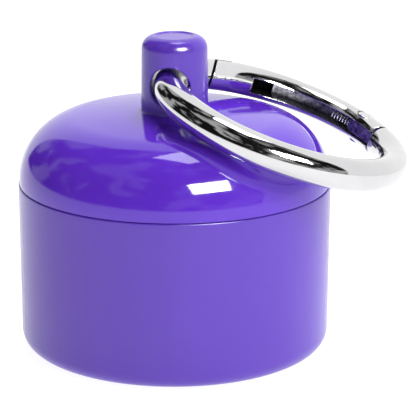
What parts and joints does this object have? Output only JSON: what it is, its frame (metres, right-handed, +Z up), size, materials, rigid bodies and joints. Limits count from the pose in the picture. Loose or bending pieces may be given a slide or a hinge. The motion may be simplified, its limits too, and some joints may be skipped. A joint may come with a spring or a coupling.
{
  "type": "screw-top capsule keychain",
  "caption": "Small round screw-top capsule with a domed lid, hung from a metal ring that a sprung gate closes.",
  "frame": {"origin": "centre of the cup's flat base", "axes": "+Z up along the capsule's axis, from the base to the post; +X towards the side on which the ring lies"},
  "size_m": [0.0517, 0.0416, 0.0421],
  "materials": {
    "purple_plastic": "gloss injection-moulded plastic",
    "washer_silicone": "matt silicone",
    "ring_chrome": "bright plated die-cast zinc, rougher inside the gate",
    "pin_steel": "plated steel rivet",
    "spring_steel": "bright drawn spring wire"
  },
  "bodies": {
    "cup": {"cup": "purple_plastic"},
    "seal": {"seal_ring": "washer_silicone"},
    "lid": {"lid": "purple_plastic"},
    "ring": {"ring_hoop": "ring_chrome", "hinge_pin": "pin_steel"},
    "gate": {"gate": "ring_chrome", "gate_spring": "spring_steel"}
  },
  "joints": [
    {"name": "lid_lift", "type": "slide", "parent": "cup", "child": "seal", "axis": [0, 0, 1], "range_m": [0, 0.0061]},
    {"name": "lid_turn", "type": "hinge", "parent": "seal", "child": "lid", "pos_m": [0, 0, 0.0224], "axis": [0, 0, 1], "range_deg": [0, 720]},
    {"name": "ring_swing", "type": "hinge", "parent": "lid", "child": "ring", "pos_m": [0, 0, 0.036], "axis": [-0.1702, -0.9854, 0], "range_deg": [0, 218]},
    {"name": "gate_pivot", "type": "hinge", "parent": "ring", "child": "gate", "pos_m": [0.02539, 0.00716, 0.0277], "axis": [0.3245, -0.0561, 0.9442], "range_deg": [0, 2.9], "stiffness_Nm_per_rad": 0.02, "springref_deg": -14.32, "deforming": ["gate_spring"]}
  ],
  "couplings": [
    {"joint": "lid_lift", "follows": "lid_turn", "m_per_rad": 0.00047746}
  ]
}
